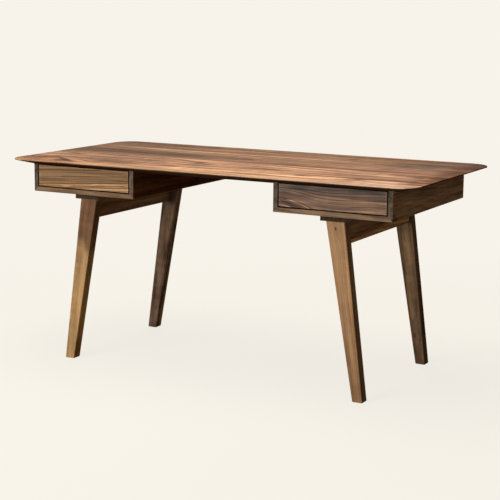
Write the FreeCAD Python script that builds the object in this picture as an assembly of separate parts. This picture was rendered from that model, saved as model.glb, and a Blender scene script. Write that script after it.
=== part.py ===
import FreeCAD, Part
import math
import os

from FreeCAD import Vector

# Desk top: one glued board with round corners and a wide bevel under its edge
desk_length = 1600.0
desk_depth = 800.0
desk_height = 750.0
top_thickness = 26.0
top_edge_height = 4.0
top_bevel_width = 85.0
top_corner_radius = 80.0
top_flat_corner_radius = 20.0
top_edge_round = 2.0

# Drawer casings: a bottom board, two sides mitred to it and a back
casing_width = 434.0
casing_height = 94.0
casing_front_setback = 57.0
casing_rear_setback = 70.0
casing_end_setback = 86.0
side_thickness = 18.0
bottom_thickness = 18.0
back_thickness = 18.0
back_rabbet = 6.0

# Sliding dovetail on the upper edge of each casing side
tongue_neck = 8.0
tongue_crown = 12.0
tongue_height = 8.0
tongue_stop = 45.0

# Splines across the mitres between the casing sides and the casing bottom
spline_thickness = 4.0
spline_width = 14.0
spline_length = 60.0
spline_rise_share = 0.6
spline_place_shares = (0.14, 0.5, 0.86)

# Leg frames: a bearer under each casing, two splayed legs and a rail between them
bearer_thickness = 19.0
bearer_width = 100.0
bearer_front_setback = 23.0
bearer_rear_setback = 10.0
frame_inset = 215.5
leg_top_width = 68.0
leg_foot_width = 37.5
leg_splay = 95.0
leg_depth = 39.0
leg_end_setback = 11.0
leg_arris = 1.5
rail_thickness = 20.0
rail_height = 79.5

# Loose tenons inside the leg frames
leg_tenon_thickness = 10.0
leg_tenon_width = 26.0
leg_tenon_in_leg = 22.0
leg_tenon_in_bearer = 12.0
rail_tenon_thickness = 8.0
rail_tenon_height = 45.0
rail_tenon_length = 40.0

# Cap screws that hold each leg frame to its casing
screw_reach = 24.0
screw_radius = 3.0
screw_head_radius = 5.0
screw_head_height = 5.0
screw_head_recess = 1.0
screw_socket_radius = 2.3
screw_socket_depth = 2.5
screw_inset = 35.0
screw_place_shares = (0.2, 0.5, 0.8)
socket_sides = 6

# Drawers: a lipped front, dovetailed sides and back, a bottom panel in grooves
reveal = 3.0
front_thickness = 20.0
front_lip = 8.0
box_side_thickness = 12.0
box_back_thickness = 12.0
box_height = 60.0
box_lift = 6.0
panel_thickness = 6.0
panel_groove_depth = 6.0
panel_lift = 10.0
pin_width = 6.0
tail_slope_share = 1.0 / 6.0
front_tail_count = 2
back_tail_count = 2

# Roller slides at both sides of each drawer
slide_thickness = 12.7
slide_front_gap = 2.0
slide_rear_room = 83.0
slide_overlap = 150.0
slide_sheet = 1.5
channel_height = 35.0
channel_depth = 10.2
channel_lip = 3.6
roller_radius = 1.6
roller_length = 4.4
cage_sheet = 0.6
cage_end_room = 5.0
roller_end_distance = 10.0

# Clearances and small edge breaks
fit_clearance = 0.15
roller_clearance = 0.1
cage_clearance = 0.25
arris = 0.8

# Levels and places that follow from the sizes above
top_low = desk_height - top_thickness
band_low = desk_height - top_edge_height
casing_low = top_low - casing_height
casing_floor = casing_low + bottom_thickness
bearer_low = casing_low - bearer_thickness
casing_front = casing_front_setback - desk_depth / 2
casing_rear = desk_depth / 2 - casing_rear_setback
casing_depth = casing_rear - casing_front
back_front = casing_rear - back_thickness
casing_out = desk_length / 2 - casing_end_setback
casing_in = casing_out - casing_width
bay_in = casing_in + side_thickness
bay_out = casing_out - side_thickness
lower_corners = ((casing_in, bay_in), (casing_out, bay_out))
box_in = bay_in + slide_thickness
box_out = bay_out - slide_thickness
shoulder = casing_front + front_thickness
slide_front = shoulder + slide_front_gap
slide_length = back_front - slide_rear_room - slide_front
box_rear = slide_front + slide_length
box_back_front = box_rear - box_back_thickness
box_low = casing_floor + box_lift
box_top = box_low + box_height
slide_middle = (box_low + box_top) / 2
panel_low = box_low + panel_lift
panel_top = panel_low + panel_thickness
frame_middle = casing_in + frame_inset
bearer_front = casing_front + bearer_front_setback
bearer_rear = casing_rear - bearer_rear_setback
front_leg_middle = bearer_front + leg_end_setback + leg_depth / 2
rear_leg_middle = bearer_rear - leg_end_setback - leg_depth / 2
leg_middles = (front_leg_middle, rear_leg_middle)

# Places inside a roller slide, measured from the casing side's face
roller_height = channel_height / 2 - slide_sheet - roller_clearance - roller_radius
runner_half = roller_height - roller_radius - roller_clearance
runner_edge = slide_sheet + cage_sheet + 2 * cage_clearance
roller_middle = (runner_edge + channel_depth - slide_sheet) / 2
cage_length = slide_overlap - 2 * cage_end_room

up_axis = Vector(0, 0, 1)
right_axis = Vector(1, 0, 0)
rear_axis = Vector(0, 1, 0)
origin = Vector(0, 0, 0)


def block(x0, x1, y0, y1, z0, z1):
    return Part.makeBox(x1 - x0, y1 - y0, z1 - z0, Vector(x0, y0, z0))


def prism(points, run):
    outline = Part.makePolygon(points + [points[0]])
    return Part.Face(outline).extrude(run)


def grown_block(x0, x1, y0, y1, z0, z1, room):
    return block(x0 - room, x1 + room, y0 - room, y1 + room, z0 - room, z1 + room)


def edges_at_depth(shape, y):
    near = fit_clearance / 2
    return [e for e in shape.Edges if all(abs(v.Y - y) < near for v in e.Vertexes)]


def edges_at_height(shape, z):
    near = fit_clearance / 2
    return [e for e in shape.Edges if all(abs(v.Z - z) < near for v in e.Vertexes)]


def rounded_outline(half_length, half_depth, radius, z):
    reach = radius * (1 - 0.5 ** 0.5)
    corners = ((1, 1), (-1, 1), (-1, -1), (1, -1))
    arcs = []
    for index, (sx, sy) in enumerate(corners):
        on_side = Vector(sx * half_length, sy * (half_depth - radius), z)
        on_end = Vector(sx * (half_length - radius), sy * half_depth, z)
        middle = Vector(sx * (half_length - reach), sy * (half_depth - reach), z)
        ends = (on_side, on_end) if index % 2 == 0 else (on_end, on_side)
        arcs.append((ends[0], middle, ends[1]))
    edges = []
    for index, (start, middle, end) in enumerate(arcs):
        edges.append(Part.Arc(start, middle, end).toShape())
        edges.append(Part.LineSegment(end, arcs[(index + 1) % len(arcs)][0]).toShape())
    return Part.Wire(edges)


# The top without its grooves, which also trims the boards that meet it
def make_top_blank():
    outer = rounded_outline(desk_length / 2, desk_depth / 2, top_corner_radius, band_low)
    flat_half_length = desk_length / 2 - top_bevel_width
    flat_half_depth = desk_depth / 2 - top_bevel_width
    inner = rounded_outline(flat_half_length, flat_half_depth, top_flat_corner_radius, top_low)
    band = Part.Face(outer).extrude(up_axis * top_edge_height)
    under = Part.makeLoft([inner, outer], True, True)
    body = band.fuse(under).removeSplitter()
    return body.makeFillet(top_edge_round, edges_at_height(body, desk_height))


# One dovetail running along Y on a casing side's upper edge, or its groove when grown
def dovetail_rib(middle, y0, y1, room):
    neck = tongue_neck / 2 + room
    crown = tongue_crown / 2 + room
    high = top_low + tongue_height + room
    points = [
        Vector(middle - neck, y0, top_low),
        Vector(middle + neck, y0, top_low),
        Vector(middle + crown, y0, high),
        Vector(middle - crown, y0, high),
    ]
    return prism(points, Vector(0, y1 - y0, 0))


def make_desk_top(blank):
    top = blank
    groove_start = casing_front + tongue_stop - fit_clearance
    for middle in (casing_in + side_thickness / 2, casing_out - side_thickness / 2):
        for hand in (1, -1):
            top = top.cut(dovetail_rib(hand * middle, groove_start, desk_depth / 2, fit_clearance))
    return top


# The splines of one lower corner of a casing, or their grooves when grown
def mitre_splines(outer, inner, room):
    slant = Vector(inner - outer, 0, bottom_thickness)
    middle = Vector(outer, 0, casing_low) + slant * spline_rise_share
    slant.normalize()
    thick = slant * (spline_thickness / 2 + room)
    wide = slant.cross(rear_axis) * (spline_width / 2 + room)
    splines = []
    for share in spline_place_shares:
        y0 = casing_front + share * casing_depth - spline_length / 2 - room
        start = middle + rear_axis * y0
        points = [start + thick + wide, start - thick + wide, start - thick - wide, start + thick - wide]
        splines.append(prism(points, rear_axis * (spline_length + 2 * room)))
    return splines


# What the mitre takes from a board in a lower corner, where the corner has its third point
def mitre_waste(outer, inner, third_x, third_z):
    points = [
        Vector(outer, casing_front, casing_low),
        Vector(inner, casing_front, casing_floor),
        Vector(third_x, casing_front, third_z),
    ]
    return prism(points, rear_axis * casing_depth)


# A casing board with its front edges and its lower outer corners eased
def eased_board(board, corners):
    board = board.makeChamfer(arris, edges_at_depth(board, casing_front))
    low_edges = edges_at_height(board, casing_low)
    eased = [e for e in low_edges if min(abs(e.CenterOfMass.x - x) for x in corners) < arris]
    return board.makeChamfer(arris, eased)


def make_casing_side(blank, outer, inner):
    x0, x1 = sorted((outer, inner))
    board = block(x0, x1, casing_front, casing_rear, casing_low, band_low)
    board = eased_board(board.cut(blank), (outer,))
    board = board.fuse(dovetail_rib((x0 + x1) / 2, casing_front + tongue_stop, back_front, 0))
    into_board = back_rabbet if outer > inner else -back_rabbet
    rabbet_x = sorted((inner, inner + into_board))
    rabbet = block(rabbet_x[0], rabbet_x[1], back_front, casing_rear, casing_floor, desk_height)
    cuts = [rabbet, mitre_waste(outer, inner, inner, casing_low)]
    cuts += mitre_splines(outer, inner, fit_clearance)
    return board.cut(cuts).removeSplitter()


def make_casing_back(blank):
    x0 = bay_in - back_rabbet
    x1 = bay_out + back_rabbet
    board = block(x0, x1, back_front, casing_rear, casing_floor, band_low)
    return board.cut(blank)


def make_casing_bottom():
    board = block(casing_in, casing_out, casing_front, casing_rear, casing_low, casing_floor)
    board = eased_board(board, (casing_in, casing_out))
    cuts = [screw_hole(x, y) for x, y in screw_places()]
    for outer, inner in lower_corners:
        cuts.append(mitre_waste(outer, inner, outer, casing_floor))
        cuts += mitre_splines(outer, inner, fit_clearance)
    return board.cut(cuts)


def screw_places():
    x = frame_middle - bearer_width / 2 + screw_inset
    run = bearer_rear - bearer_front
    return [(x, bearer_front + run * share) for share in screw_place_shares]


# One cap screw, whose head bears on the seat of its counterbore and has a hexagon socket
def make_screw(x, y):
    seat = bearer_low + screw_head_recess + screw_head_height
    head_low = Vector(x, y, bearer_low + screw_head_recess)
    head = Part.makeCylinder(screw_head_radius, screw_head_height, head_low)
    turns = [2 * math.pi * side / socket_sides for side in range(socket_sides)]
    reaches = [Vector(math.cos(turn), math.sin(turn), 0) * screw_socket_radius for turn in turns]
    socket = prism([head_low + reach for reach in reaches], up_axis * screw_socket_depth)
    head = head.cut(socket)
    return head.fuse(Part.makeCylinder(screw_radius, screw_reach, Vector(x, y, seat)))


def screw_hole(x, y):
    depth = screw_head_recess + screw_head_height
    seat = Vector(x, y, bearer_low + depth)
    bore = Part.makeCylinder(screw_head_radius + fit_clearance, depth, Vector(x, y, bearer_low))
    return bore.fuse(Part.makeCylinder(screw_radius + fit_clearance, screw_reach + fit_clearance, seat))


# The tenon between a leg and the bearer, or its mortise when grown
def leg_tenon(leg_middle, room):
    x0 = frame_middle - leg_tenon_width / 2
    x1 = frame_middle + leg_tenon_width / 2
    y0 = leg_middle - leg_tenon_thickness / 2
    y1 = leg_middle + leg_tenon_thickness / 2
    z0 = bearer_low - leg_tenon_in_leg
    z1 = bearer_low + leg_tenon_in_bearer
    return grown_block(x0, x1, y0, y1, z0, z1, room)


# The tenon between a leg and the rail, or its mortise when grown
def rail_tenon(leg_middle, room):
    x_middle = frame_middle + leg_top_width / 2 - rail_thickness / 2
    x0 = x_middle - rail_tenon_thickness / 2
    x1 = x_middle + rail_tenon_thickness / 2
    inward = -1 if leg_middle == rear_leg_middle else 1
    y_joint = leg_middle + inward * leg_depth / 2
    y0 = y_joint - rail_tenon_length / 2
    y1 = y_joint + rail_tenon_length / 2
    z_middle = bearer_low - rail_height / 2
    z0 = z_middle - rail_tenon_height / 2
    z1 = z_middle + rail_tenon_height / 2
    return grown_block(x0, x1, y0, y1, z0, z1, room)


def make_bearer():
    x0 = frame_middle - bearer_width / 2
    x1 = frame_middle + bearer_width / 2
    board = block(x0, x1, bearer_front, bearer_rear, bearer_low, casing_low)
    board = board.makeChamfer(arris, edges_at_height(board, bearer_low))
    cuts = [leg_tenon(y, fit_clearance) for y in leg_middles]
    cuts += [screw_hole(x, y) for x, y in screw_places()]
    return board.cut(cuts)


def make_leg(leg_middle):
    y0 = leg_middle - leg_depth / 2
    foot_middle = frame_middle + leg_splay
    points = [
        Vector(frame_middle - leg_top_width / 2, y0, bearer_low),
        Vector(frame_middle + leg_top_width / 2, y0, bearer_low),
        Vector(foot_middle + leg_foot_width / 2, y0, 0),
        Vector(foot_middle - leg_foot_width / 2, y0, 0),
    ]
    leg = prism(points, Vector(0, leg_depth, 0))
    long_edges = [e for e in leg.Edges if abs(e.Vertexes[0].Z - e.Vertexes[1].Z) > leg_depth]
    leg = leg.makeChamfer(leg_arris, long_edges + edges_at_height(leg, 0))
    return leg.cut([leg_tenon(leg_middle, fit_clearance), rail_tenon(leg_middle, fit_clearance)])


def make_rail():
    x1 = frame_middle + leg_top_width / 2
    x0 = x1 - rail_thickness
    y0 = front_leg_middle + leg_depth / 2
    y1 = rear_leg_middle - leg_depth / 2
    rail = block(x0, x1, y0, y1, bearer_low - rail_height, bearer_low)
    low_edges = edges_at_height(rail, bearer_low - rail_height)
    rail = rail.makeChamfer(arris, [e for e in low_edges if abs(e.Length - (y1 - y0)) < arris])
    return rail.cut([rail_tenon(y, fit_clearance) for y in leg_middles])


# Dovetail tails from root to tip through a board's thickness, or their sockets when grown
def tails(x0, x1, root, tip, low, height, count, room):
    pitch = height / count
    out = 1 if tip > root else -1
    tip_half = (pitch - pin_width) / 2 + room
    root_half = tip_half - abs(tip - root) * tail_slope_share
    end = tip + out * room
    end_half = root_half + abs(end - root) * tail_slope_share
    made = []
    for index in range(count):
        middle = low + pitch * (index + 0.5)
        points = [
            Vector(x0, root, middle - root_half),
            Vector(x0, end, middle - end_half),
            Vector(x0, end, middle + end_half),
            Vector(x0, root, middle + root_half),
        ]
        made.append(prism(points, Vector(x1 - x0, 0, 0)))
    return made


def front_tails(x0, x1, room):
    tip = casing_front + front_lip + fit_clearance
    return tails(x0, x1, shoulder, tip, box_low, box_height, front_tail_count, room)


def back_tails(x0, x1, room):
    low = panel_top + fit_clearance
    return tails(x0, x1, box_back_front, box_rear, low, box_top - low, back_tail_count, room)


def make_panel(room):
    x0 = box_in + box_side_thickness - panel_groove_depth
    x1 = box_out - box_side_thickness + panel_groove_depth
    y0 = shoulder - panel_groove_depth
    return block(x0 - room, x1 + room, y0 - room, box_rear, panel_low - room, panel_top + room)


def make_box_side(x0):
    x1 = x0 + box_side_thickness
    low = panel_top + fit_clearance
    side = block(x0, x1, shoulder, box_back_front, box_low, box_top)
    heel = block(x0, x1, box_back_front, box_rear, box_low, low)
    side = side.fuse([heel] + front_tails(x0, x1, 0) + back_tails(x0, x1, 0))
    return side.removeSplitter().cut(make_panel(fit_clearance))


def make_box_back():
    low = panel_top + fit_clearance
    back = block(box_in, box_out, box_back_front, box_rear, low, box_top)
    inner_faces = ((box_in, box_in + box_side_thickness), (box_out - box_side_thickness, box_out))
    for x0, x1 in inner_faces:
        back = back.cut(back_tails(x0 - fit_clearance, x1 + fit_clearance, fit_clearance))
    return back


def make_drawer_front(blank):
    x0 = bay_in + reveal
    x1 = bay_out - reveal
    z0 = casing_floor + reveal
    front = block(x0, x1, casing_front, shoulder, z0, band_low)
    front = front.cut(blank.translated(Vector(0, 0, -reveal)))
    front = front.makeChamfer(arris, edges_at_depth(front, casing_front))
    lip_rear = casing_front + front_lip
    cuts = [
        block(x0, box_in, lip_rear, shoulder, z0, desk_height),
        block(box_out, x1, lip_rear, shoulder, z0, desk_height),
        make_panel(fit_clearance).common(block(box_in + box_side_thickness,
                                               box_out - box_side_thickness,
                                               lip_rear, box_rear, z0, desk_height)),
    ]
    for x in (box_in, box_out - box_side_thickness):
        x_end = x + box_side_thickness
        cuts += front_tails(x - fit_clearance, x_end + fit_clearance, fit_clearance)
    return front.cut(cuts)


# Slide sections, with X from the casing side's face and Y from the slide's front end
def make_channel():
    half = channel_height / 2
    depth = channel_depth
    sheet = slide_sheet
    lip = half - channel_lip
    points = [
        Vector(0, 0, -half),
        Vector(depth, 0, -half),
        Vector(depth, 0, -lip),
        Vector(depth - sheet, 0, -lip),
        Vector(depth - sheet, 0, -half + sheet),
        Vector(sheet, 0, -half + sheet),
        Vector(sheet, 0, half - sheet),
        Vector(depth - sheet, 0, half - sheet),
        Vector(depth - sheet, 0, lip),
        Vector(depth, 0, lip),
        Vector(depth, 0, half),
        Vector(0, 0, half),
    ]
    return prism(points, Vector(0, slide_length, 0))


def make_runner():
    half = runner_half
    web = slide_thickness - slide_sheet
    points = [
        Vector(runner_edge, 0, -half),
        Vector(slide_thickness, 0, -half),
        Vector(slide_thickness, 0, half),
        Vector(runner_edge, 0, half),
        Vector(runner_edge, 0, half - slide_sheet),
        Vector(web, 0, half - slide_sheet),
        Vector(web, 0, -half + slide_sheet),
        Vector(runner_edge, 0, -half + slide_sheet),
    ]
    return prism(points, Vector(0, slide_length, 0))


def roller_places():
    middle = slide_length / 2
    reach = cage_length / 2 - roller_end_distance
    return [middle - reach, middle + reach]


def make_cage():
    near = slide_sheet + cage_clearance
    far = channel_depth - slide_sheet - cage_clearance
    half = roller_height + cage_sheet / 2
    y0 = (slide_length - cage_length) / 2
    points = [
        Vector(near, y0, -half),
        Vector(far, y0, -half),
        Vector(far, y0, -half + cage_sheet),
        Vector(near + cage_sheet, y0, -half + cage_sheet),
        Vector(near + cage_sheet, y0, half - cage_sheet),
        Vector(far, y0, half - cage_sheet),
        Vector(far, y0, half),
        Vector(near, y0, half),
    ]
    strip = prism(points, Vector(0, cage_length, 0))
    x0 = roller_middle - roller_length / 2 - fit_clearance
    x1 = roller_middle + roller_length / 2 + fit_clearance
    reach = roller_radius + fit_clearance
    return strip.cut([block(x0, x1, y - reach, y + reach, -half, half) for y in roller_places()])


def make_rollers():
    x0 = roller_middle - roller_length / 2
    rollers = []
    for y in roller_places():
        for z in (-roller_height, roller_height):
            rollers.append(Part.makeCylinder(roller_radius, roller_length, Vector(x0, y, z), right_axis))
    return Part.makeCompound(rollers)


# A slide piece is made for a casing face that looks along +X and turned over for the other
def seat_slide_piece(piece, face, looks):
    placed = piece if looks > 0 else piece.mirror(origin, right_axis)
    return placed.translated(Vector(face, slide_front, slide_middle))


# Every piece of the right half, by the name of its node without the hand
def right_half_pieces(blank):
    pieces = {
        "casing_bottom": make_casing_bottom(),
        "casing_inboard_side": make_casing_side(blank, casing_in, bay_in),
        "casing_outboard_side": make_casing_side(blank, casing_out, bay_out),
        "casing_back": make_casing_back(blank),
        "frame_bearer": make_bearer(),
        "front_leg": make_leg(front_leg_middle),
        "rear_leg": make_leg(rear_leg_middle),
        "frame_rail": make_rail(),
        "drawer_front": make_drawer_front(blank),
        "drawer_inboard_side": make_box_side(box_in),
        "drawer_outboard_side": make_box_side(box_out - box_side_thickness),
        "drawer_back": make_box_back(),
        "drawer_bottom": make_panel(0),
    }
    slide_pieces = {
        "slide_channel": make_channel(),
        "slide_runner": make_runner(),
        "slide_cage": make_cage(),
        "slide_rollers": make_rollers(),
    }
    for place, face, looks in (("inboard", bay_in, 1), ("outboard", bay_out, -1)):
        for name, piece in slide_pieces.items():
            pieces[place + "_" + name] = seat_slide_piece(piece, face, looks)
    return pieces


# Pieces of one kind that share a node, as separate solids on both halves
def grouped_pieces():
    groups = {
        "casing_splines": [s for outer, inner in lower_corners for s in mitre_splines(outer, inner, 0)],
        "leg_tenons": [leg_tenon(y, 0) for y in leg_middles],
        "rail_tenons": [rail_tenon(y, 0) for y in leg_middles],
        "bearer_screws": [make_screw(x, y) for x, y in screw_places()],
    }
    both = {}
    for name, solids in groups.items():
        mirrored = [s.mirror(origin, right_axis) for s in solids]
        both[name] = Part.makeCompound(solids + mirrored)
    return both


def make_all_nodes():
    blank = make_top_blank()
    nodes = {"desk_top": make_desk_top(blank)}
    for name, piece in right_half_pieces(blank).items():
        nodes["right_" + name] = piece
        nodes["left_" + name] = piece.mirror(origin, right_axis)
    nodes.update(grouped_pieces())
    return nodes


os.makedirs("parts", exist_ok=True)
for node_name, node_shape in make_all_nodes().items():
    node_shape.exportStep("parts/" + node_name + ".step")
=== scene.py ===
import math

import bmesh
import bpy
from mathutils import Euler, Matrix, Vector


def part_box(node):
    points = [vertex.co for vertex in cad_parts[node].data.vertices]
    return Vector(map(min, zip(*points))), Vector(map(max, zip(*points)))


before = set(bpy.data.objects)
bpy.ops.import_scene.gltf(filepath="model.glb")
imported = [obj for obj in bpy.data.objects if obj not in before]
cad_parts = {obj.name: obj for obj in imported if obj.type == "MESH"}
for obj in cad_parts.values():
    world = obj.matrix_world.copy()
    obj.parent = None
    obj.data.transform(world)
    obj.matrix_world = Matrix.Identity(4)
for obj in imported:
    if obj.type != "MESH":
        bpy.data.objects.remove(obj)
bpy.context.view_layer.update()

print("loaded the frame:", len(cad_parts), "nodes")


# Small helpers for node trees

def feed(tree, socket, value):
    if isinstance(value, bpy.types.NodeSocket):
        tree.links.new(value, socket)
    else:
        socket.default_value = value


def addNode(tree, kind, feeds=None, **settings):
    node = tree.nodes.new("ShaderNode" + kind)
    for key, value in settings.items():
        setattr(node, key, value)
    for socket, value in (feeds or {}).items():
        feed(tree, node.inputs[socket], value)
    return node


def calc(tree, operation, first, second=0.0, third=0.0, clamp=False):
    feeds = {0: first, 1: second, 2: third}
    return addNode(tree, "Math", feeds, operation=operation, use_clamp=clamp).outputs[0]


def centred(tree, value):
    return calc(tree, "SUBTRACT", value, 0.5)


def vectorCalc(tree, operation, first, second=(0.0, 0.0, 0.0), output="Vector"):
    return addNode(tree, "VectorMath", {0: first, 1: second}, operation=operation).outputs[output]


def stretched(tree, vector, factors):
    return vectorCalc(tree, "MULTIPLY", vector, factors)


def scaled(tree, vector, factor):
    return addNode(tree, "VectorMath", {0: vector, "Scale": factor}, operation="SCALE").outputs["Vector"]


def lengthOf(tree, vector):
    return vectorCalc(tree, "LENGTH", vector, output="Value")


def partsOf(tree, vector):
    return addNode(tree, "SeparateXYZ", {0: vector}).outputs


def joined(tree, x, y, z):
    return addNode(tree, "CombineXYZ", {0: x, 1: y, 2: z}).outputs[0]


def draw(tree, number, output="Value"):
    return addNode(tree, "TexWhiteNoise", {"W": number}, noise_dimensions="1D").outputs[output]


def noise(tree, vector, detail=2.0, roughness=0.5, distortion=0.0, output="Fac"):
    feeds = {"Vector": vector, "Scale": 1.0, "Detail": detail, "Roughness": roughness,
             "Distortion": distortion}
    return addNode(tree, "TexNoise", feeds, noise_dimensions="3D").outputs[output]


def remap(tree, value, low, high, toLow=0.0, toHigh=1.0, smooth=True):
    feeds = {"Value": value, "From Min": low, "From Max": high, "To Min": toLow, "To Max": toHigh}
    kind = "SMOOTHSTEP" if smooth else "LINEAR"
    return addNode(tree, "MapRange", feeds, interpolation_type=kind, clamp=True).outputs[0]


def blendColour(tree, share, first, second):
    feeds = {0: share, 6: first, 7: second}    # the sockets of a colour mix: factor, A and B
    node = addNode(tree, "Mix", feeds, data_type="RGBA", blend_type="MIX", clamp_factor=True)
    return node.outputs[2]


def tinted(tree, share, colour, tint):
    return blendColour(tree, share, colour, stretched(tree, colour, tint))


def ramp(tree, value, stops, kind="LINEAR"):
    node = addNode(tree, "ValToRGB", {"Fac": value})
    node.color_ramp.interpolation = kind
    elements = node.color_ramp.elements
    while len(elements) > 1:
        elements.remove(elements[-1])
    elements[0].position = stops[0][0]
    elements[0].color = (*stops[0][1], 1.0)
    for place, colour in stops[1:]:
        elements.new(place).color = (*colour, 1.0)
    return node.outputs[0]


def opaque(colour):
    return (*colour, 1.0)


def newGroup(name, inputs, outputs):
    group = bpy.data.node_groups.new(name, "ShaderNodeTree")
    for flow, sockets in (("INPUT", inputs), ("OUTPUT", outputs)):
        for socket, kind in sockets.items():
            group.interface.new_socket(socket, in_out=flow, socket_type="NodeSocket" + kind)
    given = group.nodes.new("NodeGroupInput").outputs
    return group, given, group.nodes.new("NodeGroupOutput").inputs


# The grain of wood, as a solid pattern: x runs along the grain, y and z across it, in metres

grainInputs = {
    "Board": "Vector",
    "Seed": "Float",
    "Heart": "Vector",      # where the middle of the tree passes the board
    "Taper": "Float",       # rise of the rings along the board
    "Ring": "Float",        # width of a year's growth
    "Waver": "Float",       # how far the rings wander
    "Lines": "Float",       # lines, streaks, flame, curl and pores: how strongly each shows
    "Streaks": "Float",
    "Flame": "Float",
    "Figure": "Vector",     # how fine the flames are, along and across
    "Curl": "Float",
    "Pores": "Float",
    "Swell": "Float",       # extra ring distance round a knot
    "Knot": "Float",        # 1 in the middle of a knot
    "End": "Float",         # 1 on end grain
    "Dark": "Color",
    "Middle": "Color",
    "Light": "Color",
    "Cast": "Color",
}
grainOutputs = {"Colour": "Color", "Roughness": "Float", "Height": "Float"}

grainLook = {
    "shift": (1.71, 0.63, 1.17),          # how far one step of the seed moves the pattern
    "drift": (1.3, 6.0, 6.0),             # how fine the slow wander of the rings is
    "driftReach": (0.0, 2.0, 2.0),
    "ripple": (7.0, 45.0, 45.0),          # how fine their quick wander is
    "rippleReach": (0.0, 0.0035, 0.0035),
    "ringDrift": (0.21, 3.0),             # how quickly and how much the width of the rings varies
    "ringSeed": 37.0,
    "ringWeight": 0.12,
    "ringLine": ((0.0, 0.6), (0.09, 0.08), (0.5, 0.0), (0.8, 0.3), (0.93, 1.0), (1.0, 0.6)),
    "ringFaint": (0.75, 0.25),            # spread of the rings' strength, and the faintest one
    "streakPlace": (0.55, 30.0, 3.1),     # along the board, across the rings, by the seed
    "streak": (3.0, 0.6),                 # detail, roughness
    "hue": (1.4, 0.6, 1.9),
    "castFade": (0.42, 0.68, 0.0, 0.45),  # where in the hue's noise the cast begins and ends, and its shares
    "flame": (3.0, 0.62, 0.3),            # detail, roughness, distortion
    "curl": ((26.0, 7.0, 7.0), 2.0, 0.55, 0.6),    # how fine, detail, roughness, distortion
    "fibre": ((7.0, 230.0, 230.0), 3.0, 0.65),
    "fibreWeight": 0.55,
    "hair": ((22.0, 1100.0, 1100.0), 1.0, 0.5),
    "hairWeight": 0.22,
    "pore": ((55.0, 1500.0, 1500.0), 0.0, 0.5),
    "poreFade": (0.6, 0.74),
    "poreShade": 0.5,
    "knot": (0.028, 0.016, 0.009),
    "endShade": -0.2,
    "gloss": {"plain": 0.5, "fibre": 0.22, "pore": 0.15, "end": 0.14},
    "height": {"fibre": 0.5, "hair": 0.35, "pore": 0.7, "ring": 0.15},
}


def wander(tree, place, fine):
    drawn = noise(tree, stretched(tree, place, fine), output="Color")
    return vectorCalc(tree, "SUBTRACT", drawn, (0.5, 0.5, 0.5))


def grainLayer(tree, place, fine, *noiseSettings):
    return noise(tree, stretched(tree, place, fine), *noiseSettings)


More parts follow.
